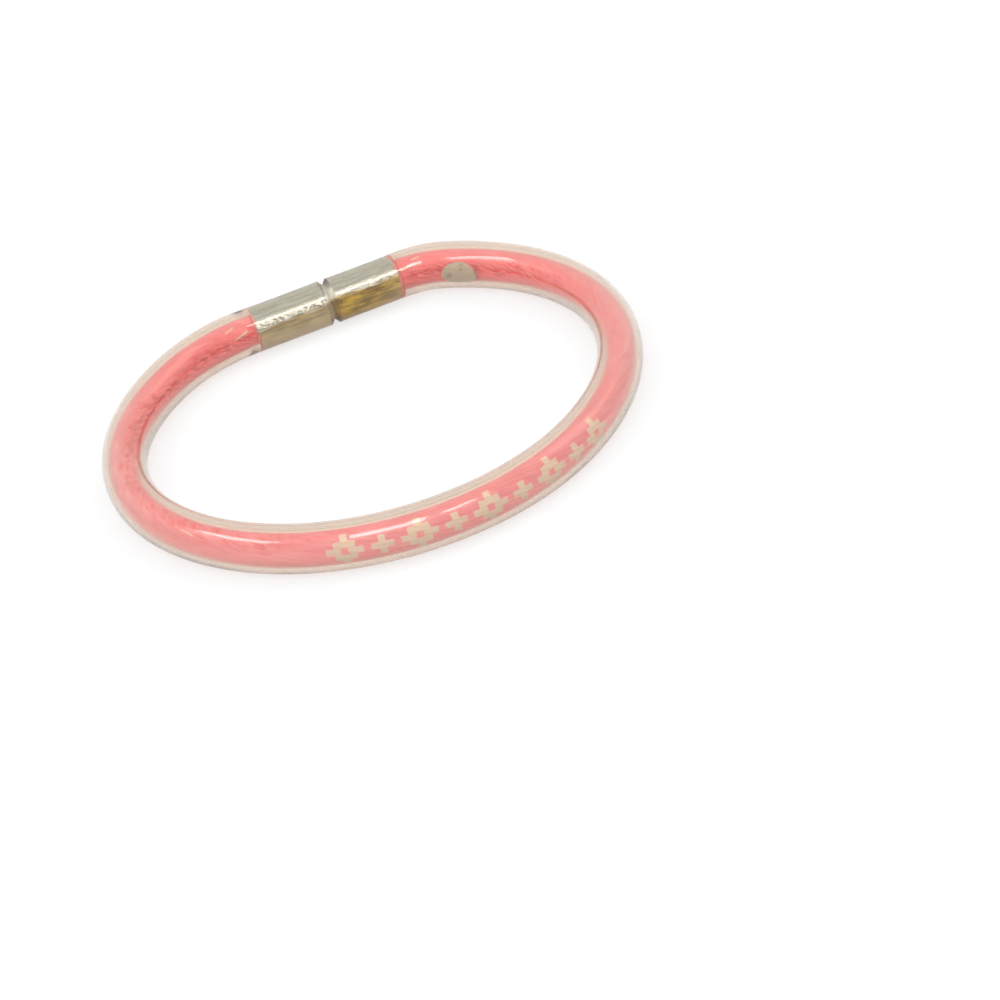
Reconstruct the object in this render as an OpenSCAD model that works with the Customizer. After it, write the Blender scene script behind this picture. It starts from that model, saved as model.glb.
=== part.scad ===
// Tube bracelet: a clear plastic tube around a textile core, closed by a two-part barrel clasp.
// It lies flat, +Z up, with the clasp straight along X at the back (+Y). The origin is on the
// surface that it rests on, under the middle of the loop.

/* [Tube] */
// Outer diameter of the clear tube
tube_d = 6; // [5.6:0.1:8]
// Diameter of its bore
bore_d = 4.6; // [4.6:0.1:4.9]
// Length of the slope on each end's outer edge, along the tube
slope_length = 0.25; // [0.1:0.05:0.6]
// Depth of that slope, across the wall
slope_depth = 0.5; // [0.1:0.05:0.5]

/* [Loop] */
// Bend radius beside the clasp's right end
right_end_r = 9; // [8:1:12]
// Bend radius of the right shoulder
right_shoulder_r = 32; // [29:1:35]
// Bend radius across the front
front_r = 30; // [28:1:32]
// Bend radius of the left shoulder
left_shoulder_r = 33; // [30:1:36]
// Bend radius beside the clasp's left end
left_end_r = 21; // [17:1:25]

/* [Core] */
// Width of the textile core, which is flattened a little between the sides of its bends
core_w = 3.7; // [3:0.1:4]
// Height of the textile core
core_h = 4.2; // [3:0.1:4.2]

/* [Clasp] */
// Length of the loop's straight part, which holds the clasp
clasp_length = 20; // [16:1:26]
// How much further the left barrel reaches than the right one, into the bend
left_extra = 0.8; // [0:0.1:1]
// Diameter of its two barrels
barrel_d = 4.4; // [4:0.1:4.4]
// Width of the groove between the halves, and between the tube's ends
groove_w = 0.2; // [0.2:0.1:0.6]
// Rounding of the barrels' edges
barrel_round = 0.3; // [0.1:0.1:0.5]
// Diameter of the stud's pin
pin_d = 2; // [1.4:0.1:2.4]
// Length of the pin past the stud's face
pin_length = 6; // [4:0.5:7]
// Clearance around the pin, and at its end
pin_gap = 0.15; // [0.1:0.05:0.2]

/* [Plaque] */
// Length of the oval plaque, along the tube
plaque_length = 5; // [3:0.1:6]
// Height of the plaque
plaque_height = 2.8; // [2:0.1:2.8]
// Its thickness
plaque_t = 0.12; // [0.1:0.01:0.12]
// How far the loop has turned at its middle, in degrees from the clasp's right end
plaque_turn = 43; // [42:1:80]

/* [Hidden] */
$fn = 96;

// Every turn is an angle of a 3-4-5 triangle, so that whole radii put the bends' centres and
// ends on round numbers, where neighbours meet exactly.
slight = atan(3 / 4);
steep = atan(4 / 3);

// The loop's bends in order, clockwise from the clasp's right end: turn in degrees and radius.
// The two sides have no radius here, because theirs is worked out so that the loop closes.
turn = 0;
radius = 1;
bends = [
    [slight, right_end_r],
    [steep, right_shoulder_r],
    [steep, 0],
    [2 * slight, front_r],
    [steep, 0],
    [steep, left_shoulder_r],
    [slight, left_end_r]
];
last = len(bends) - 1;
right_shoulder = 1;
right_side = 2;
front = 3;
left_side = 4;

// The heading before bend i, clockwise from +X; the way from the bend's centre to its start;
// and how far the bend goes at radius 1
function head(i) = i == 0 ? 0 : head(i - 1) + bends[i - 1][turn];
function way(i) = [sin(head(i)), cos(head(i))];
function reach(i) = way(i + 1) - way(i);

// What the clasp and the bends of known radius leave open, which the two sides close
function known_reach(i) = i > last ? [clasp_length, 0] : bends[i][radius] * reach(i) + known_reach(i + 1);
open_reach = known_reach(0);
sides_cross = cross(reach(right_side), reach(left_side));
right_side_r = -cross(open_reach, reach(left_side)) / sides_cross;
left_side_r = -cross(reach(right_side), open_reach) / sides_cross;

function bend_r(i) = i == right_side ? right_side_r : i == left_side ? left_side_r : bends[i][radius];
function start(i) = i == 0 ? [clasp_length / 2, 0] : start(i - 1) + bend_r(i - 1) * reach(i - 1);
function centre(i) = start(i) - bend_r(i) * way(i);

// The middle of the loop, from the bends that reach furthest right, left and forward
loop_right = centre(right_side).x + right_side_r;
loop_left = centre(left_side).x - left_side_r;
loop_front = centre(front).y - front_r;
middle = [(loop_right + loop_left) / 2, loop_front / 2];

tube_r = tube_d / 2;
bore_r = bore_d / 2;
barrel_r = barrel_d / 2;
pin_r = pin_d / 2;
end_x = groove_w / 2; // the tube's cut ends and the barrels' faces, each side of the clasp's middle
core_gap = 0.2; // between a barrel and the core
barrel_end = clasp_length / 2 - core_gap;
core_cut = left_extra / left_end_r * 180 / PI; // degrees by which the core stops short at the left
pin_root = 1; // how deep the pin is rooted in the stud's barrel
plaque_gap = 0.1; // between the plaque and the bore
plaque_r = bore_r - plaque_gap; // the plaque's outer face

// Moves the loop's middle over the origin and rests the tube on the surface
module seated() {
    translate([-middle.x, -middle.y, tube_r]) children();
}

// A section carried round bend i: a full ring, cut to the wedge between the bend's two ends,
// less short degrees at its far end
module along_bend(i, short = 0) {
    wedge_l = 2 * (bend_r(i) + tube_r);
    far = short == 0 ? way(i + 1) : [sin(head(i + 1) - short), cos(head(i + 1) - short)];
    translate(centre(i)) intersection() {
        rotate_extrude() translate([bend_r(i), 0]) children();
        translate([0, 0, -tube_d]) linear_extrude(2 * tube_d)
            polygon([[0, 0], wedge_l * way(i), wedge_l * far]);
    }
}

// An outline turned about X: its x is the distance from the axis, its y the distance along X.
// side is 1 for the right half of the clasp and -1 for the left.
module turned(side) {
    rotate([0, 90 * side, 0]) rotate_extrude() children();
}

module wall_section() {
    difference() {
        circle(tube_r);
        circle(bore_r);
    }
}

// The straight end of the tube over one clasp barrel, with its outer edge sloped off
module sleeve(side) {
    turned(side) polygon([
        [bore_r, end_x],
        [tube_r - slope_depth, end_x],
        [tube_r, end_x + slope_length],
        [tube_r, clasp_length / 2],
        [bore_r, clasp_length / 2]
    ]);
}

// Outline of a solid barrel with rounded edges, from the clasp's middle to far_end
module barrel_section(far_end) {
    length = far_end - end_x;
    translate([0, end_x]) square([barrel_r - barrel_round, length]);
    translate([0, end_x + barrel_round]) square([barrel_r, length - 2 * barrel_round]);
    for (y = [end_x + barrel_round, far_end - barrel_round])
        translate([barrel_r - barrel_round, y]) circle(barrel_round);
}

module tube() {
    color("antiquewhite", 0.4) seated() {
        for (i = [0:last]) along_bend(i) wall_section();
        sleeve(1);
        sleeve(-1);
    }
}

module core() {
    color("lightcoral") seated()
        for (i = [0:last]) along_bend(i, i == last ? core_cut : 0) scale([core_w, core_h]) circle(0.5);
}

module clasp_socket() {
    hole_end = pin_length - end_x + pin_gap;
    color("silver") seated() turned(-1) difference() {
        barrel_section(barrel_end + left_extra);
        square([pin_r + pin_gap, hole_end]);
    }
}

module clasp_stud() {
    color("darkkhaki") seated() {
        turned(1) barrel_section(barrel_end);
        turned(-1) translate([0, -end_x - pin_root]) square([pin_r, pin_length + pin_root]);
    }
}

// An oval cut from a thin shell between core and bore, on the side that faces the wrist
module plaque() {
    color("tan") seated() intersection() {
        along_bend(right_shoulder) difference() {
            circle(plaque_r);
            circle(plaque_r - plaque_t);
        }
        translate(centre(right_shoulder)) rotate(90 - plaque_turn)
            translate([bend_r(right_shoulder), 0]) rotate([0, -90, 0])
                linear_extrude(bore_r) scale([plaque_height, plaque_length]) circle(0.5);
    }
}

tube();
core();
clasp_socket();
clasp_stud();
plaque();
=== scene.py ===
import math

import bpy
from mathutils import Matrix, Vector


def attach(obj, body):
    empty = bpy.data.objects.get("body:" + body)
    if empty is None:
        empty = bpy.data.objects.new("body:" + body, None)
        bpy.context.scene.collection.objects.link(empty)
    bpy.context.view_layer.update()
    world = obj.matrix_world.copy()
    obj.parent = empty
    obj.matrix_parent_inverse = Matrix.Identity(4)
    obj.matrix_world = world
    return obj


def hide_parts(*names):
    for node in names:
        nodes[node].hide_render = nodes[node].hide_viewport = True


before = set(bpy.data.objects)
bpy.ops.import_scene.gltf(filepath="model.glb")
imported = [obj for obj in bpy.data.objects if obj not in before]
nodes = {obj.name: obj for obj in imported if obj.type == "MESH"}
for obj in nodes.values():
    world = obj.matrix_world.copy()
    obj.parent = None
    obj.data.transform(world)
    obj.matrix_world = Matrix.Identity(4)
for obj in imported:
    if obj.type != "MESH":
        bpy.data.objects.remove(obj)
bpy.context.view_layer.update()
mm = 0.001
weaveMap = "weave"  # the core's own UV map: x along it, y around it
dullness = "dullness"  # how rough each point of the tube is


# A socket whose sums and products add Math nodes
class Wire:
    def __init__(self, desk, socket):
        self.desk, self.socket = desk, socket

    def __add__(self, other):
        return self.desk.math("ADD", self, other)

    def __sub__(self, other):
        return self.desk.math("SUBTRACT", self, other)

    def __rsub__(self, other):
        return self.desk.math("SUBTRACT", other, self)

    def __mul__(self, other):
        return self.desk.math("MULTIPLY", self, other)

    def __truediv__(self, other):
        return self.desk.math("DIVIDE", self, other)

    def __pow__(self, other):
        return self.desk.math("POWER", self, other)

    def __lt__(self, other):
        return self.desk.math("LESS_THAN", self, other)

    def __gt__(self, other):
        return self.desk.math("GREATER_THAN", self, other)

    __radd__ = __add__
    __rmul__ = __mul__


# A node tree and the few ways in which this script adds nodes to it
class Desk:
    def __init__(self, tree):
        self.tree = tree

    def add(self, kind, settings=None, inputs=None, out=0):
        node = self.tree.nodes.new(kind)
        for name, value in (settings or {}).items():
            setattr(node, name, value)
        for key, value in (inputs or {}).items():
            self.plug(node.inputs[key], value)
        return Wire(self, node.outputs[out])

    def plug(self, socket, value):
        if isinstance(value, Wire):
            self.tree.links.new(value.socket, socket)
        else:
            socket.default_value = value

    def math(self, operation, *values):
        return self.add("ShaderNodeMath", {"operation": operation}, dict(enumerate(values)))

    def vector(self, operation, *values):
        return self.add("ShaderNodeVectorMath", {"operation": operation}, dict(enumerate(values)))

    def join(self, x, y, z):
        return self.add("ShaderNodeCombineXYZ", None, {0: x, 1: y, 2: z})

    def split(self, value):
        first = self.add("ShaderNodeSeparateXYZ", None, {0: value})
        return [Wire(self, socket) for socket in first.socket.node.outputs]

    def fade(self, value, low, high, fromValue=0.0, toValue=1.0):  # a soft step from low to high
        return self.add("ShaderNodeMapRange", {"interpolation_type": "SMOOTHSTEP"},
                        {0: value, 1: low, 2: high, 3: fromValue, 4: toValue})

    def noise(self, place, scale, detail=2.0, roughness=0.5):
        return self.add("ShaderNodeTexNoise", None, {
            "Vector": place, "Scale": scale, "Detail": detail, "Roughness": roughness})

    def blend(self, share, first, second):  # colours, from first to second
        return self.add("ShaderNodeMix", {"data_type": "RGBA"}, {0: share, 6: first, 7: second}, 2)


# A geometry tree with named inputs, which grows a new mesh object
class GeometryDesk(Desk):
    def __init__(self, name):
        super().__init__(bpy.data.node_groups.new(name, "GeometryNodeTree"))
        self.tree.interface.new_socket("Geometry", in_out="OUTPUT", socket_type="NodeSocketGeometry")
        self.source = self.tree.nodes.new("NodeGroupInput")
        self.answers = {}

    def ask(self, name, value, kind="NodeSocketFloat"):
        socket = self.tree.interface.new_socket(name, in_out="INPUT", socket_type=kind)
        self.answers[socket.identifier] = value
        return Wire(self, self.source.outputs[name])

    def grow(self, geometry, name, material):
        realized = self.add("GeometryNodeRealizeInstances", None, {0: geometry})
        painted = self.add("GeometryNodeSetMaterial", None, {"Geometry": realized, "Material": material})
        self.plug(self.tree.nodes.new("NodeGroupOutput").inputs[0], painted)
        host = bpy.data.objects.new(name + "Tree", bpy.data.meshes.new(name + "Tree"))
        bpy.context.scene.collection.objects.link(host)
        modifier = host.modifiers.new("tree", "NODES")
        modifier.node_group = self.tree
        for identifier, value in self.answers.items():
            modifier[identifier] = value
        graph = bpy.context.evaluated_depsgraph_get()
        mesh = bpy.data.meshes.new_from_object(host.evaluated_get(graph))
        host.modifiers.remove(modifier)
        bpy.data.objects.remove(host)
        mesh.name = name
        piece = bpy.data.objects.new(name, mesh)
        bpy.context.scene.collection.objects.link(piece)
        print(f"{name}: {sum(len(p.vertices) - 2 for p in mesh.polygons)} triangles")
        return piece


# The shader tree of one material
class Finish(Desk):
    def __init__(self, name):
        self.material = bpy.data.materials.new(name)
        self.material.use_nodes = True
        super().__init__(self.material.node_tree)
        self.tree.nodes.clear()
        self.output = self.tree.nodes.new("ShaderNodeOutputMaterial")

    def principled(self, values):
        return self.add("ShaderNodeBsdfPrincipled", None, values)

    def surface(self, shader):
        self.plug(self.output.inputs["Surface"], shader)

    def volume(self, shader):
        self.plug(self.output.inputs["Volume"], shader)

    def objectPlace(self):
        return self.add("ShaderNodeTexCoord", None, None, "Object")

    def kept(self, name):
        return self.add("ShaderNodeAttribute", {"attribute_name": name}, None, "Fac")

    def bump(self, height, distance):
        return self.add("ShaderNodeBump", None, {"Height": height, "Distance": distance})


def shade(red, green, blue, alpha=1):
    return (red, green, blue, alpha)


# The loop, in mm, clockwise from above. It starts at the middle of the clasp, heading +X.
slight, steep = math.atan(3 / 4), math.atan(4 / 3)
loop = {
    "clasp": 20.0,  # its straight part
    "bends": [  # turn and radius
        (slight, 9), (steep, 32), (steep, 37), (2 * slight, 30), (steep, 33), (steep, 33), (slight, 21),
    ],
    "middle": (-3.8, -31.5),  # the middle of the loop, from the middle of the clasp
    "easing": 1.2,  # half the stretch over which one bend runs into the next
    "step": 0.25,
}
bentLength = sum(turn * radius for turn, radius in loop["bends"])
loopLength = loop["clasp"] + bentLength


def headingAt(spot):
    start, heading = loop["clasp"] / 2, 0.0
    for turn, radius in loop["bends"]:
        heading += min(max(spot - start, 0), turn * radius) / radius
        start += turn * radius
    return heading


def easedHeading(spot, samples=9):
    reach = loop["easing"]
    return sum(headingAt(spot + reach * (2 * i / (samples - 1) - 1)) for i in range(samples)) / samples


def loopPoints():
    count = math.ceil(loopLength / loop["step"])
    step = loopLength / count
    points = [(0.0, 0.0)]
    for i in range(count):
        heading = easedHeading((i + 0.5) * step)
        x, y = points[-1]
        points.append((x + step * math.cos(heading), y - step * math.sin(heading)))
    missX, missY = points[-1]  # what the easing leaves open is spread over the whole loop
    middleX, middleY = loop["middle"]
    return [((x - missX * i / count - middleX) * mm, (y - missY * i / count - middleY) * mm)
            for i, (x, y) in enumerate(points)]


def pathCurve(name, points):
    data = bpy.data.curves.new(name, "CURVE")
    data.dimensions = "3D"
    spline = data.splines.new("POLY")
    spline.points.add(len(points) - 1)
    for point, (x, y) in zip(spline.points, points):
        point.co = (x, y, 0, 1)
    curve = bpy.data.objects.new(name, data)
    bpy.context.scene.collection.objects.link(curve)
    return curve


print("laying out the loop")
loopPath = pathCurve("loopPath", loopPoints())

# The section, which a bend squeezes a little from side to side
section = {
    "tubeRadius": 3.0,
    "squeeze": 0.047,  # share by which it narrows and grows taller
    "roundUntil": 7.0,  # mm from the clasp's middle, up to which it stays round
    "squeezedFrom": 17.0,
    "sharpFrom": 0.5,  # radians between two faces, past which the edge stays sharp
    "mergeWithin": 1e-6,
}


# The path and the squeezed section that tube and core share inside one tree
class Sweep(GeometryDesk):
    def __init__(self, name):
        super().__init__(name)
        holder = self.ask("Path", loopPath, "NodeSocketObject")
        self.path = self.add("GeometryNodeObjectInfo", {"transform_space": "ORIGINAL"},
                             {"Object": holder}, "Geometry")
        self.length = self.ask("Loop length", loopLength * mm)
        self.tubeRadius = self.ask("Tube radius", section["tubeRadius"] * mm)
        self.squeeze = self.ask("Squeeze", section["squeeze"])
        self.roundUntil = self.ask("Round until", section["roundUntil"] * mm)
        self.squeezedFrom = self.ask("Squeezed from", section["squeezedFrom"] * mm)

    def bentShare(self, spot):  # 0 at the clasp, 1 in the bends
        fromClasp = self.math("MINIMUM", spot, self.length - spot)
        return self.fade(fromClasp, self.roundUntil, self.squeezedFrom)

    # Where a point lies, from its way along the loop, its turn round the section from outward, and its radius
    def place(self, spot, turn, radius, aside=0.0, lift=0.0):
        bent = self.bentShare(spot)
        narrow = self.squeeze * bent
        sample = self.add("GeometryNodeSampleCurve", {"mode": "LENGTH", "data_type": "FLOAT"},
                          {"Curves": self.path, "Length": spot}, "Position")
        heading = Wire(self, sample.socket.node.outputs["Tangent"])
        outward = self.vector("NORMALIZE", self.vector("CROSS_PRODUCT", (0, 0, 1), heading))
        across = radius * (1 - narrow) * self.math("COSINE", turn) + aside * bent
        height = radius * (1 + narrow) * self.math("SINE", turn)
        height = height + self.tubeRadius * (1 + narrow) + lift * bent
        level = self.add("ShaderNodeVectorMath", {"operation": "SCALE"}, {0: outward, "Scale": across})
        return self.vector("ADD", self.vector("ADD", sample, level), self.join(0.0, 0.0, height))

    # A grid that goes once round and from one (spot, radius) to another
    def wall(self, start, end, rings, around):
        grid = self.add("GeometryNodeMeshGrid", None, {
            "Size X": 1.0, "Size Y": 1.0, "Vertices X": rings + 1, "Vertices Y": around + 1})
        uv = Wire(self, grid.socket.node.outputs["UV Map"])
        along, turn, _ = self.split(uv)
        spot = start[0] + (end[0] - start[0]) * along
        radius = start[1] + (end[1] - start[1]) * along
        return grid, spot, radius, turn

    def keep(self, geometry, name, value):  # stores a number on each point for the shader
        return self.add("GeometryNodeStoreNamedAttribute", {"data_type": "FLOAT", "domain": "POINT"},
                        {"Geometry": geometry, "Name": name, "Value": value})

    def gather(self, walls):
        joined = self.tree.nodes.new("GeometryNodeJoinGeometry")
        for wall in walls:
            self.tree.links.new(wall.socket, joined.inputs[0])
        merged = self.add("GeometryNodeMergeByDistance", None, {
            "Geometry": Wire(self, joined.outputs[0]), "Distance": section["mergeWithin"]})
        outwards = self.add("GeometryNodeFlipFaces", None, {0: merged})  # the grids come out facing inwards
        edgeAngle = self.add("GeometryNodeInputMeshEdgeAngle")
        sharp = self.add("FunctionNodeCompare", {"data_type": "FLOAT", "operation": "GREATER_THAN"},
                         {0: edgeAngle, 1: section["sharpFrom"]})
        smooth = self.add("GeometryNodeSetShadeSmooth", {"domain": "FACE"},
                          {"Geometry": outwards, "Shade Smooth": True})
        return self.add("GeometryNodeSetShadeSmooth", {"domain": "EDGE"},
                        {"Geometry": smooth, "Selection": sharp, "Shade Smooth": False})


# Clear tube
tube = {
    "bore": 2.36,  # clears the plaque where the bends squeeze it
    "boreAtBarrels": 2.13,  # under the barrels' 2.2, so that they sit in the plastic without an air film
    "rightBarrelEnd": 9.8,
    "leftBarrelEnd": 10.6,
    "flare": 1.6,  # over which the bore widens past the barrels
    "gap": 0.02,  # from the clasp's middle to each cut end
    "slopeLength": 0.55,
    "slopeDepth": 0.7,
    "lipRadius": 1.98,  # the bore's radius at the cut ends, pressed round the barrels' edges
    "lipLength": 0.42,
    "waviness": 0.018,
    "wavesPerMetre": 90.0,
    "calmUntil": 4.0,  # the waves begin this far from the clasp's middle
    "rings": [2, 2, 440, 2, 2, 3, 20, 6, 330, 6, 20, 3],  # for each stretch of the outline
    "around": 96,
    "tint": (0.80, 0.615, 0.47),  # yellowed, seen through its depth
    "tintDensity": 500.0,
    "paleSkin": (0.99, 0.965, 0.93),
    "warmSkin": (0.97, 0.93, 0.87),
    "shadowTint": (1.0, 0.99, 0.97),
    "refraction": 1.53,
    "polish": (0.01, 0.05),  # roughness outside, from clean to scuffed
    "boreRoughness": 0.12,  # rubbed by the textile
    "cutRoughness": 0.7,  # sawn, so that the notch looks pale
    "scuffDepth": 0.06,
}


def makeTube():
    desk = Sweep("clearTube")
    outer = desk.ask("Outer radius", section["tubeRadius"] * mm)
    bore = desk.ask("Bore radius", tube["bore"] * mm)
    tight = desk.ask("Bore radius at the barrels", tube["boreAtBarrels"] * mm)
    gap = desk.ask("End gap", tube["gap"] * mm)
    slope = desk.ask("Slope length", tube["slopeLength"] * mm)
    lip = outer - desk.ask("Slope depth", tube["slopeDepth"] * mm)
    rightEnd = desk.ask("Right barrel end", tube["rightBarrelEnd"] * mm)
    leftEnd = desk.ask("Left barrel end", tube["leftBarrelEnd"] * mm)
    flare = desk.ask("Flare", tube["flare"] * mm)
    lipBore = desk.ask("Bore radius at the cut ends", tube["lipRadius"] * mm)
    lipEnd = desk.ask("Lip length", tube["lipLength"] * mm)
    waviness = desk.ask("Waviness", tube["waviness"] * mm)
    far = desk.length
    outline = [
        (gap, lipBore), (gap, lip), (gap + slope, outer), (far - gap - slope, outer), (far - gap, lip),
        (far - gap, lipBore), (far - lipEnd, tight), (far - leftEnd, tight), (far - leftEnd - flare, bore),
        (rightEnd + flare, bore), (rightEnd, tight), (lipEnd, tight), (gap, lipBore),
    ]
    rubbed, cut = tube["boreRoughness"], tube["cutRoughness"]
    roughness = [cut, cut, 0.0, cut, cut] + 7 * [rubbed]
    walls = []
    for start, end, count, dull in zip(outline, outline[1:], tube["rings"], roughness):
        grid, spot, radius, turn = desk.wall(start, end, count, tube["around"])
        angle = turn * (2 * math.pi)
        cosine, sine = desk.math("COSINE", angle), desk.math("SINE", angle)
        wave = desk.noise(desk.join(cosine, sine, spot * tube["wavesPerMetre"]), 0.8, 1.0)
        stir = desk.fade(desk.math("MINIMUM", spot, far - spot), gap, tube["calmUntil"] * mm)
        radius = radius - wave * 2 * waviness * stir
        moved = desk.add("GeometryNodeSetPosition", None,
                         {"Geometry": grid, "Position": desk.place(spot, angle, radius)})
        walls.append(desk.keep(moved, dullness, dull))
    return desk.grow(desk.gather(walls), "clearTube", makeTubeFinish())


def makeTubeFinish():
    finish = Finish("clearPlastic")
    place = finish.objectPlace()
    scuffs = finish.noise(place, 900.0, 4.0, 0.65)
    waves = finish.noise(place, 120.0, 2.0, 0.4)
    shell = finish.principled({
        "Base Color": finish.blend(waves, shade(*tube["paleSkin"]), shade(*tube["warmSkin"])),
        "Roughness": finish.fade(scuffs, 0.5, 0.8, *tube["polish"]) + finish.kept(dullness),
        "IOR": tube["refraction"], "Transmission Weight": 0.97,
        "Normal": finish.bump(waves * 0.8 + scuffs * 0.04, tube["scuffDepth"] * mm),
    })
    clear = finish.add("ShaderNodeBsdfTransparent", None, {"Color": shade(*tube["shadowTint"])})
    shadowRay = finish.add("ShaderNodeLightPath", None, None, "Is Shadow Ray")  # lets light in to the core
    finish.surface(finish.add("ShaderNodeMixShader", None, {0: shadowRay, 1: shell, 2: clear}))
    finish.volume(finish.add("ShaderNodeVolumeAbsorption", None,
                             {"Color": shade(*tube["tint"]), "Density": tube["tintDensity"]}))
    return finish.material


# Rolled and twisted textile core
core = {
    "rightStart": 9.88,  # mm from the clasp's middle, at the right barrel's end
    "leftStart": 10.7,  # and at the left one's
    "halfWidth": 1.84,
    "halfHeight": 2.12,
    "outward": 0.1,  # how far the bends push it outwards
    "sag": 0.16,
    "strands": 19,
    "turnsPerMetre": 13.0,
    "strandDepth": 0.025,
    "creaseDepth": 0.18,
    "creasesFrom": 175.0,  # degrees round the section from outward, where most creases lie at the clasp
    "creasesTo": 62.0,  # and where across the front
    "creaseTurnsPerMetre": 30.0,  # creases cross the strands
    # how densely they bunch along the loop: from and to in mm from the clasp's middle, then the share at each
    "bunchedRight": (26.0, 42.0, 1.0, 0.3),
    "bunchedFront": (112.0, 126.0, 0.0, 0.25),
    "bunchedLeft": (144.0, 158.0, 0.0, 0.45),
    "smoothFrom": (62.0, 74.0),  # the cloth lies smoother along the motif
    "smoothTo": (112.0, 122.0),
    "rings": (6, 600, 6),  # for its right end, its length and its left end
    "around": 150,
    "motifFrom": 75.6,  # mm from the clasp's middle, on the right
    "cell": 0.86,
    "cellTurn": 23.0,  # degrees round the section
    "motifTurn": 10.0,  # how far the motif's middle is turned up from outward
    "diamonds": 5,
    # loose pale threads, partly painted highlights where light catches the yarn: mm from the clasp's middle,
    # degrees round the section, degrees per mm,
    # half length in mm and half width in degrees
    "threadsAndGlints": [(10.9, 137, -3.5, 1.1, 5.0), (190.3, 156, -7.0, 1.3, 5.0), (189.0, 122, -5.0, 0.8, 3.2),
                (12.6, 112, -4.0, 0.7, 3.2), (133.0, 52, 3.0, 1.2, 2.6)],
    # pale threads, partly painted highlights
    "threadGlintTone": (0.88, 0.74, 0.60),
    "deepPink": (0.67, 0.115, 0.165),
    "lightPink": (0.88, 0.27, 0.335),
    "palestPink": (0.90, 0.40, 0.45),
    "blotchPink": (0.74, 0.12, 0.17),
    "foldPink": (0.74, 0.115, 0.16),
    # painted shade: less red and paler on top, to even out the light from above
    "topShadePink": (0.75, 0.31, 0.37),  # on top
    # painted light: paler low on the outside, as if lit by the bright floor
    "floorLitPink": (0.98, 0.36, 0.41),  # low on the outside
    "innerPink": (0.93, 0.09, 0.115),  # towards the wrist
    # painted shade: deeper red where the creases bunch
    "bunchedShadePink": (0.95, 0.10, 0.11),  # where the creases lie
    # painted shade in the valleys between strands
    "valleyShadowPink": (0.55, 0.055, 0.085),
    # painted shade: deep red in the creases
    "creaseShadowRed": (0.68, 0.022, 0.032),
    "creamShade": (0.60, 0.50, 0.40),
    "creamLight": (0.80, 0.70, 0.59),
    # painted shade in the valleys between strands, on the cream motif
    "creamValleyShadow": (0.45, 0.28, 0.19),
    "fibreDepth": 0.12,
}
coreLength = loopLength - core["rightStart"] - core["leftStart"]


# How deep a point lies in a crease, and how densely they bunch there, both 0 to about 1. The spot is in mm.
def creaseAt(desk, spot, angle):
    cosine, sine = desk.math("COSINE", angle), desk.math("SINE", angle)
    fromClasp = desk.math("MINIMUM", spot, loopLength - spot)
    middle = desk.fade(fromClasp, 14.0, 86.0,
                       math.radians(core["creasesFrom"]), math.radians(core["creasesTo"]))
    wobble = desk.noise(desk.join(cosine * 0.7, sine * 0.7, spot * 0.8), 1.0, 3.0, 0.6) - 0.5
    patches = desk.noise(desk.join(cosine * 1.6, sine * 1.6, spot * 0.4), 1.0, 2.0)
    off = desk.math("ABSOLUTE", angle - middle + wobble * 1.5)
    quiet = desk.fade(spot, *core["smoothFrom"]) * desk.fade(spot, *core["smoothTo"], 1.0, 0.0)
    nearRight, nearLeft = desk.fade(spot, *core["bunchedRight"]), desk.fade(spot, *core["bunchedLeft"])
    density = nearRight + desk.fade(spot, *core["bunchedFront"]) + nearLeft
    bunched = desk.fade(off, 0.12, 0.78, 1.0, 0.0) * (1 - quiet * 0.7) * density
    leaning = angle - spot * (core["creaseTurnsPerMetre"] * mm * 2 * math.pi)
    across = desk.join(desk.math("COSINE", leaning) * 5.6, desk.math("SINE", leaning) * 5.6, spot * 0.75)
    dense = bunched * 0.05 + desk.fade(off, 0.04, 0.3, 0.02, 0.0) * desk.fade(patches, 0.35, 0.55)
    strokes = desk.fade(desk.noise(across, 1.0, 3.0, 0.6) + dense, 0.54, 0.58) * (bunched * 0.95 + 0.05)
    return strokes * desk.fade(fromClasp, 9.0, 12.0), bunched


def makeCore():
    desk = Sweep("twistedCore")
    begin = desk.ask("Right start", core["rightStart"] * mm)
    finishUp = desk.length - desk.ask("Left start", core["leftStart"] * mm)
    halfWidth = desk.ask("Half width", core["halfWidth"] * mm)
    halfHeight = desk.ask("Half height", core["halfHeight"] * mm)
    outward = desk.ask("Outward push", core["outward"] * mm)
    lift = desk.ask("Lift", -core["sag"] * mm)
    strands = desk.ask("Strands", float(core["strands"]))
    lay = desk.ask("Turns per metre", core["turnsPerMetre"])
    strandDepth = desk.ask("Strand depth", core["strandDepth"] * mm)
    creaseDepth = desk.ask("Crease depth", core["creaseDepth"] * mm)
    outline = [(begin, 0.0), (begin, 1.0), (finishUp, 1.0), (finishUp, 0.0)]
    walls = []
    for start, end, count in zip(outline, outline[1:], core["rings"]):
        grid, spot, share, turn = desk.wall(start, end, count, core["around"])
        angle = turn * (2 * math.pi)
        cosine, sine = desk.math("COSINE", angle), desk.math("SINE", angle)
        drift = desk.noise(desk.join(cosine, sine, spot * 110), 1.0, 2.0)
        phase = ((turn - spot * lay) * strands + drift * 3.0) * math.pi
        ridge = desk.math("ABSOLUTE", desk.math("SINE", phase)) ** 0.6
        # an oval: the radius towards this angle
        radius = halfWidth * halfHeight
        radius = radius / desk.math("SQRT", (halfHeight * cosine) ** 2 + (halfWidth * sine) ** 2)
        crease, _ = creaseAt(desk, spot / mm, angle)
        radius = (radius + (ridge - 0.7) * strandDepth - crease * creaseDepth) * share
        moved = desk.add("GeometryNodeSetPosition", None,
                         {"Geometry": grid, "Position": desk.place(spot, angle, radius, outward, lift)})
        uv = desk.join((spot - begin) / (finishUp - begin), turn, 0.0)
        walls.append(desk.add("GeometryNodeStoreNamedAttribute", {"data_type": "FLOAT2", "domain": "CORNER"},
                              {"Geometry": moved, "Name": weaveMap, "Value": uv}))
    return desk.grow(desk.gather(walls), "twistedCore", makeCoreFinish())


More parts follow.
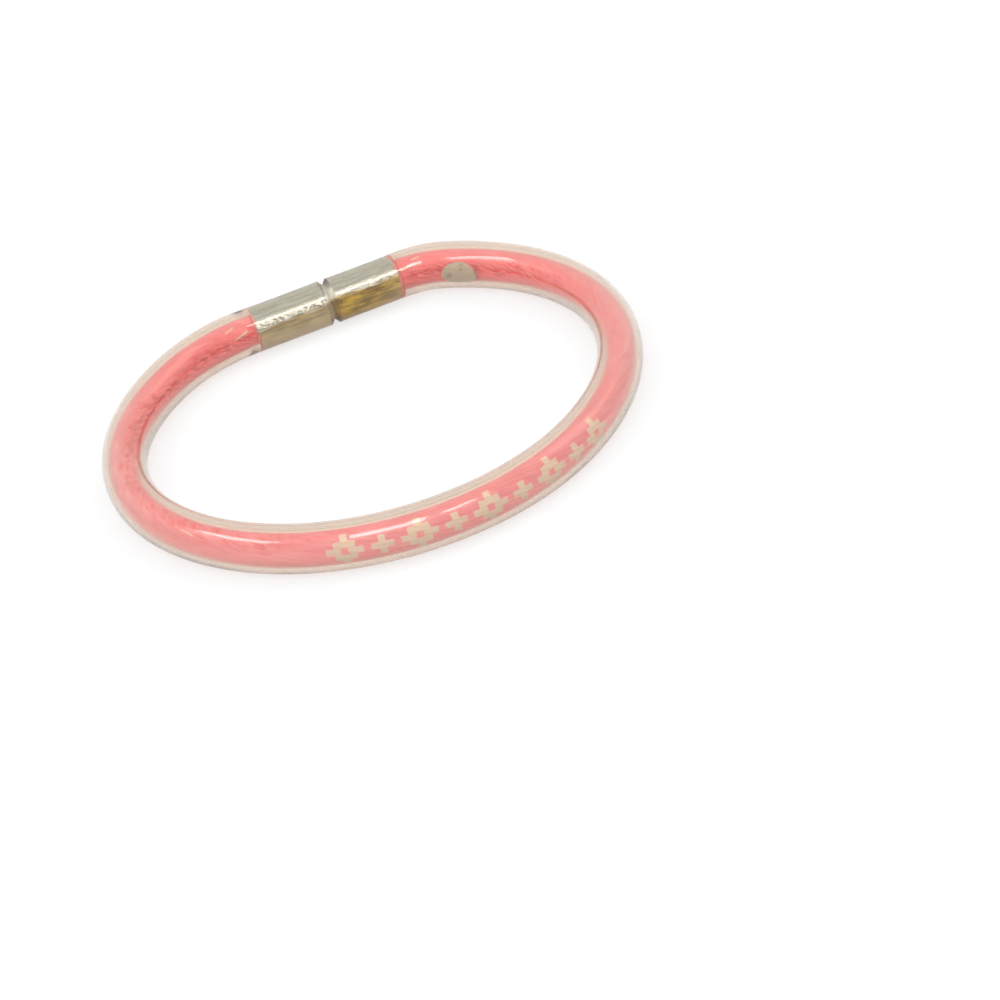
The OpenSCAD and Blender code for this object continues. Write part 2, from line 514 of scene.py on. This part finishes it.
def makeCoreFinish():
    finish = Finish("satinYarn")

    def tone(name):
        return shade(*core[name])

    along, turn, _ = finish.split(finish.add("ShaderNodeUVMap", {"uv_map": weaveMap}))
    spot = along * coreLength + core["rightStart"]  # mm from the clasp's middle
    angle = turn * (2 * math.pi)
    cosine, sine = finish.math("COSINE", angle), finish.math("SINE", angle)
    lay = core["turnsPerMetre"] * mm
    leaning = angle - spot * (lay * 2 * math.pi)
    leanX, leanY = finish.math("COSINE", leaning), finish.math("SINE", leaning)
    fibre = finish.noise(finish.join(leanX * 4.5, leanY * 4.5, spot * 0.5), 1.0, 5.0, 0.66)
    streak = finish.noise(finish.join(leanX * 2.2, leanY * 2.2, spot * 0.28), 1.0, 3.0, 0.55)
    blotch = finish.noise(finish.join(cosine, sine, spot * 0.16), 1.0, 2.0)
    fold = finish.noise(finish.join(leanX * 1.5, leanY * 1.5, spot * 0.07), 1.0, 2.0)
    drift = finish.noise(finish.join(cosine, sine, spot * 0.11), 1.0, 2.0)
    phase = ((turn - spot * lay) * core["strands"] + drift * 3.0) * math.pi
    strand = finish.math("ABSOLUTE", finish.math("SINE", phase))
    # the valleys between strands, where shade is painted
    shadedValleys = finish.fade(strand, 0.0, 0.5, 1.0, 0.0) * finish.fade(streak, 0.4, 0.65)

    # the motif's cell that this point lies in, with edges that follow the fibres a little
    wander = (finish.noise(finish.join(cosine * 6, sine * 6, spot * 2.2), 1.0, 2.0) - 0.5) * 0.5
    column = finish.math("FLOOR", (spot - core["motifFrom"]) / core["cell"] + wander)
    lifted = finish.math("WRAP", turn * 360 - core["motifTurn"], 180.0, -180.0)
    row = finish.math("ABSOLUTE", finish.math("ROUND", lifted / core["cellTurn"] + wander * 0.5))
    repeat = finish.math("FLOORED_MODULO", column, 10.0)
    fromMiddle = finish.math("ABSOLUTE", repeat - 2) + row
    diamond = (fromMiddle < 2.5) * (fromMiddle > 0.5)
    small = finish.math("ABSOLUTE", repeat - 7) + row < 1.5
    within = (column > -0.5) * (column < core["diamonds"] * 10 - 5 - 0.5)
    motif = (diamond + small) * within

    pink = finish.blend(finish.fade(fibre, 0.3, 0.7), tone("deepPink"), tone("lightPink"))
    pink = finish.blend(finish.fade(streak, 0.45, 0.65, 0.0, 0.6), pink, tone("palestPink"))
    pink = finish.blend(finish.fade(blotch, 0.4, 0.65, 0.0, 0.45), pink, tone("blotchPink"))
    pink = finish.blend(finish.fade(fold, 0.42, 0.6, 0.0, 0.5), pink, tone("foldPink"))
    # painted shade on top: the top made less red and paler
    pink = finish.blend(finish.fade(sine, -0.2, 0.9, 0.0, 0.45), pink, tone("topShadePink"))
    # painted light low on the outside, as from the bright floor
    litLowOutside = finish.fade(cosine - sine * 0.8, 0.3, 1.1, 0.0, 0.6)
    pink = finish.blend(litLowOutside, pink, tone("floorLitPink"))
    pink = finish.blend(finish.fade(cosine, -0.9, 0.1, 0.6, 0.0), pink, tone("innerPink"))
    crease, bunched = creaseAt(finish, spot, angle)
    # painted shade: deeper red where the creases bunch
    pink = finish.blend(bunched * 0.25, pink, tone("bunchedShadePink"))
    # painted shade in the valleys between strands, on pink and cream
    pink = finish.blend(shadedValleys * 0.25, pink, tone("valleyShadowPink"))
    cream = finish.blend(fibre, tone("creamShade"), tone("creamLight"))
    cream = finish.blend(shadedValleys * 0.25, cream, tone("creamValleyShadow"))

    # pale threads, partly painted highlights where light catches the yarn
    threadsAndGlints = 0.0
    for middle, around, lean, reach, width in core["threadsAndGlints"]:
        past = spot - middle
        off = finish.math("WRAP", turn * 360 - past * lean - around, 180.0, -180.0)
        thread = finish.fade(finish.math("ABSOLUTE", off), width * 0.5, width, 1.0, 0.0)
        thread = thread * finish.fade(finish.math("ABSOLUTE", past), reach * 0.7, reach, 1.0, 0.0)
        threadsAndGlints = finish.math("MAXIMUM", threadsAndGlints, thread)
    cloth = finish.blend(motif, pink, cream)
    # painted shade: deep red in the creases
    cloth = finish.blend(crease * 0.95, cloth, tone("creaseShadowRed"))
    cloth = finish.blend(threadsAndGlints * 0.9, cloth, tone("threadGlintTone"))
    relief = fibre * 0.5 + strand * 0.2 + motif * 0.3 + threadsAndGlints * 0.6
    finish.surface(finish.principled({
        "Base Color": cloth,
        "Roughness": finish.fade(fibre, 0.3, 0.7, 0.42, 0.62),
        "Sheen Weight": 0.2, "Sheen Roughness": 0.4,
        "Normal": finish.bump(relief, core["fibreDepth"] * mm),
    }))
    return finish.material


# Clasp barrels and plaque keep their CAD shapes
clasp = {
    "middle": (3.8, 31.5, 3.0),
    "socketPinkBlur": (10.1, 10.6),  # mm from its middle over which the core's pink, as the tube refracts it over each end, is painted on
    "studPinkBlur": (9.0, 9.7),
    # painted: the core's pink as the tube refracts it over the metal's ends
    "blurredCorePink": (0.88, 0.26, 0.29),
    "socketEdge": 0.36,  # radians up from the wrist's side, where the lower part begins: a painted darker reflection, on the stud also its tarnish
    "studEdge": 0.5,
    "darkSteel": (0.58, 0.68, 0.65),
    "lightSteel": (0.72, 0.84, 0.80),
    "greySpots": (0.56, 0.55, 0.52),
    # painted highlight: a pale band where the front light's highlight falls
    "highlightSteel": (0.90, 0.98, 0.92),
    # painted dark specks: the broken lower edge of the reflection under the highlight
    "reflectionSpecks": (0.24, 0.21, 0.18),
    # the lower part: a painted darker reflection below the highlight band
    "lowReflectionShade": (0.29, 0.225, 0.08),
    "lowReflectionLight": (0.50, 0.42, 0.19),
    # painted reflection of the bright floor
    "floorReflectionPale": (0.60, 0.53, 0.36),  # low on the wrist's side
    "stainShade": (0.20, 0.125, 0.001),
    "stainLight": (0.58, 0.43, 0.02),
    "roughness": (0.15, 0.27),
    "dentDepth": 0.1,
}


def makeClaspFinish(name, stained, pinkBlurSpan, edge):
    finish = Finish(name)

    def tone(part):
        return shade(*clasp[part])

    def between(angle, low, lowFull, highFull, high):  # a band round the barrel with soft edges
        return finish.fade(angle, low, lowFull) * finish.fade(angle, highFull, high, 1.0, 0.0)

    place = finish.split(finish.objectPlace())
    x, y, z = (part / mm - middle for part, middle in zip(place, clasp["middle"]))
    angle = finish.math("ARCTAN2", z, 0 - y)  # 0 towards the wrist, 90 degrees up
    ringX, ringY = finish.math("COSINE", angle), finish.math("SINE", angle)
    drawn = finish.noise(finish.join(ringX * 8, ringY * 8, x * 0.3), 1.0, 4.0, 0.65)
    knurl = finish.noise(finish.join(ringX * 9, ringY * 9, x * 2.4 + angle * 1.5), 1.0, 3.0, 0.6)
    spots = finish.noise(finish.join(ringX * 2, ringY * 2, x * 0.5), 1.0, 3.0, 0.6)
    patches = finish.noise(finish.join(ringX * 2.4, ringY * 2.4, x * 0.3), 1.0, 3.0, 0.55)
    lines = finish.fade(drawn, 0.35, 0.65)
    metal = finish.blend(lines, tone("darkSteel"), tone("lightSteel"))
    metal = finish.blend(finish.fade(spots, 0.5, 0.68, 0.0, 0.5), metal, tone("greySpots"))
    # the lower part's colour: a painted darker reflection below the highlight band
    dull = finish.blend(finish.fade(patches, 0.35, 0.62), tone("lowReflectionShade"), tone("lowReflectionLight"))
    # painted reflection of the bright floor, paler towards the bottom
    dull = finish.blend(finish.fade(angle, -0.7, 0.0, 0.7, 0.0), dull, tone("floorReflectionPale"))
    if stained:  # golden-brown, in streaks
        streaks = patches * 0.6 + drawn * 0.4
        golden = finish.blend(finish.fade(streaks, 0.4, 0.6), tone("stainShade"), tone("stainLight"))
        dull = finish.blend(finish.fade(x + spots * 3, 5.0, 12.0, 1.0, 0.4), dull, golden)
    else:
        dull = finish.blend(lines * 0.2, dull, metal)
    # painted highlight: a pale band where the front light's highlight falls
    metal = finish.blend(between(angle, 0.45, 0.6, 0.8, 0.95) * 0.85, metal, tone("highlightSteel"))
    # painted dark specks: the broken lower edge of the reflection under the highlight
    reflectionSpecks = finish.fade(knurl, 0.5, 0.56) * between(angle, edge - 0.1, edge, 0.6, 0.72)
    metal = finish.blend(reflectionSpecks * 0.85, metal, tone("reflectionSpecks"))
    # below the edge: the painted darker reflection, on the stud with its real tarnish
    ragged = angle + (drawn - 0.5) * 0.6 + (knurl - 0.5) * 0.4
    low = finish.fade(ragged, edge - 0.06, edge + 0.06, 1.0, 0.0)
    low = low * finish.fade(angle + (patches - 0.5) * 1.5, -2.6, -1.8)  # it ends under the clasp
    metal = finish.blend(low, metal, dull)
    # painted: the core's pink, as the tube refracts it over each end of the metal
    pinkBlurShare = finish.fade(finish.math("ABSOLUTE", x) + (spots - 0.5) * 1.2, *pinkBlurSpan)
    metal = finish.blend(pinkBlurShare, metal, tone("blurredCorePink"))
    dented = between(angle, 0.1, 0.4, 0.75, 1.0)  # small dents catch the light
    finish.surface(finish.principled({
        "Base Color": metal, "Metallic": 1 - pinkBlurShare * 0.9,
        "Roughness": finish.fade(drawn, 0.3, 0.7, *clasp["roughness"]),
        "Normal": finish.bump(drawn * 0.15 + knurl * (dented + 0.1), clasp["dentDepth"] * mm),
    }))
    return finish.material


plaque = {
    "grainShade": (0.33, 0.30, 0.23),
    "grainLight": (0.58, 0.54, 0.44),
    "stain": (0.20, 0.15, 0.10),
    "grainDepth": 0.06,
}


def makePlaqueFinish():
    finish = Finish("stainedPlate")
    place = finish.objectPlace()
    grain = finish.noise(place, 4500.0, 3.0, 0.6)
    stain = finish.noise(place, 900.0, 3.0, 0.55)
    metal = finish.blend(grain, shade(*plaque["grainShade"]), shade(*plaque["grainLight"]))
    metal = finish.blend(finish.fade(stain, 0.52, 0.7, 0.0, 0.7), metal, shade(*plaque["stain"]))
    finish.surface(finish.principled({
        "Base Color": metal, "Metallic": 0.35,
        "Roughness": finish.fade(grain, 0.3, 0.7, 0.4, 0.65),
        "Normal": finish.bump(grain * 0.6 + stain * 0.4, plaque["grainDepth"] * mm),
    }))
    return finish.material


def paint(node, material):
    for slot in node.material_slots:
        slot.link = "DATA"
        slot.material = material
    if not node.material_slots:
        node.data.materials.append(material)


print("growing the tube")
tubePiece = makeTube()
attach(tubePiece, "root")
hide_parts("tube")

print("twisting the core")
corePiece = makeCore()
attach(corePiece, "root")
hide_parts("core")

print("finishing the clasp and the plaque")
paint(nodes["clasp_socket"], makeClaspFinish("drawnMetal", False, clasp["socketPinkBlur"], clasp["socketEdge"]))
paint(nodes["clasp_stud"], makeClaspFinish("tarnishedMetal", True, clasp["studPinkBlur"], clasp["studEdge"]))
paint(nodes["plaque"], makePlaqueFinish())
bpy.data.objects.remove(loopPath)

# Floor, lights and camera. The stage's lengths are in metres.
stage = {
    "floorSize": 3.0,
    "zenith": (0.80, 0.80, 0.79),
    "horizon": (0.95, 0.945, 0.935),
    "floorShade": (0.305, 0.32, 0.325),
    "floorLight": (0.325, 0.34, 0.345),
    "floorGlow": 0.64,  # lifts the floor to near white, so that only the shadows beside the tube show
    "boxDistance": 1.2,
    # each light: azimuth and elevation in degrees, width, height, power, and whether gloss shows it
    "boxes": {
        "frontBox": (-20, 52, 0.54, 0.28, 3.35, True),
        "sideBox": (18, 50, 0.24, 0.15, 0.85, True),
        "leftBox": (-100, 46, 0.71, 0.15, 2.4, True),
        "rightFill": (100, 45, 0.6, 0.6, 2.6, False),
    },
}


def towards(azimuth, elevation):  # from the middle of the scene, in radians
    level = math.cos(elevation)
    return Vector((math.sin(azimuth) * level, -math.cos(azimuth) * level, math.sin(elevation)))


def softbox(name, azimuth, elevation, width, height, power, reflected):
    data = bpy.data.lights.new(name, "AREA")
    data.shape, data.size, data.size_y, data.energy = "RECTANGLE", width, height, power
    light = bpy.data.objects.new(name, data)
    light.location = stage["boxDistance"] * towards(math.radians(azimuth), math.radians(elevation))
    light.rotation_euler = (-light.location).to_track_quat("-Z", "Y").to_euler()
    light.visible_glossy = reflected
    bpy.context.scene.collection.objects.link(light)


def makeFloor():
    half = stage["floorSize"] / 2
    mesh = bpy.data.meshes.new("floor")
    corners = [(-half, -half, 0), (half, -half, 0), (half, half, 0), (-half, half, 0)]
    mesh.from_pydata(corners, [], [(0, 1, 2, 3)])
    floor = bpy.data.objects.new("floor", mesh)
    bpy.context.scene.collection.objects.link(floor)
    finish = Finish("palePaper")
    grain = finish.noise(finish.objectPlace(), 300.0, 3.0)
    finish.surface(finish.principled({
        "Base Color": finish.blend(grain, shade(*stage["floorShade"]), shade(*stage["floorLight"])),
        "Roughness": 0.9, "Specular IOR Level": 0.1,
        "Emission Color": shade(1, 1, 1), "Emission Strength": stage["floorGlow"],
    }))
    mesh.materials.append(finish.material)


print("setting the stage")
makeFloor()
world = bpy.data.worlds.new("studio")
bpy.context.scene.world = world
world.use_nodes = True
air = Desk(world.node_tree)
_, _, rise = air.split(air.add("ShaderNodeTexCoord", None, None, "Generated"))
sky = air.blend(air.fade(rise, 0.25, 0.75), shade(*stage["horizon"]), shade(*stage["zenith"]))
air.plug(world.node_tree.nodes["Background"].inputs["Color"], sky)
for name, box in stage["boxes"].items():
    softbox(name, *box)

view = {  # angles in degrees, lengths in mm
    "elevation": 29.757,
    "azimuth": -12.304,
    "roll": -15.014,
    "distance": 600.0,
    "target": (5.14, -31.781, 3.0),
    "lens": 181.71,
    "sensor": 36,
}
cameraData = bpy.data.cameras.new("camera")
cameraData.sensor_width = view["sensor"]
cameraData.lens = view["lens"]
cameraData.clip_start, cameraData.clip_end = 0.01, 20
camera = bpy.data.objects.new("camera", cameraData)
elevation, azimuth, roll = (math.radians(view[name]) for name in ("elevation", "azimuth", "roll"))
back = towards(azimuth, elevation)
levelRight = Vector((math.cos(azimuth), math.sin(azimuth), 0))
right = math.cos(roll) * levelRight + math.sin(roll) * back.cross(levelRight)
up = back.cross(right)
camera.rotation_mode = "QUATERNION"
camera.rotation_quaternion = Matrix((right, up, back)).transposed().to_quaternion()
camera.location = (Vector(view["target"]) + view["distance"] * back) * mm
bpy.context.scene.collection.objects.link(camera)
bpy.context.scene.camera = camera
bpy.context.scene.view_settings.view_transform = "Standard"
